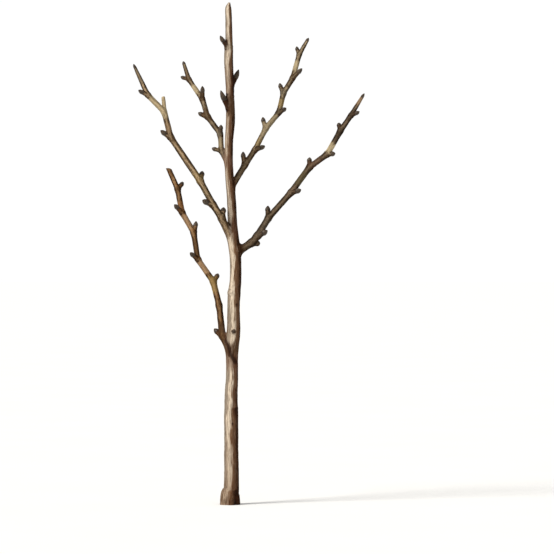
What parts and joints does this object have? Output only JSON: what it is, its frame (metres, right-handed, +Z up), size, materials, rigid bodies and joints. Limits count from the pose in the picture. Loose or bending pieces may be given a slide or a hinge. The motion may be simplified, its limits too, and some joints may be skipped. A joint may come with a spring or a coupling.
{
  "type": "bare fruit tree sapling",
  "caption": "Young leafless fruit tree rooted in the ground: one upright leader with zigzag side boughs, outer shoots and short budded spurs.",
  "frame": {"origin": "middle of the flat cut at ground level under the trunk", "axes": "+Z straight up along the trunk, +X to the right and +Y to the back as the tree is seen from the front"},
  "size_m": [0.6826, 0.454, 1.5081],
  "materials": {
    "trunk_bark": "smooth grey-brown young bark, matt, with dark knots",
    "bough_bark": "brown bark with olive and orange streaks, matt",
    "shoot_bark": "thin olive-brown bark of young shoots with dark buds, slightly satin"
  },
  "bodies": {
    "root": {"trunk": "trunk_bark", "bough_low_left": "bough_bark", "bough_low_right": "bough_bark", "bough_mid_left": "bough_bark", "bough_top_right": "bough_bark", "bough_top_left": "bough_bark", "shoot_low_left": "shoot_bark", "shoot_low_right": "shoot_bark", "shoot_mid_left": "shoot_bark", "shoot_top_right": "shoot_bark", "shoot_top_left": "shoot_bark"}
  },
  "joints": []
}
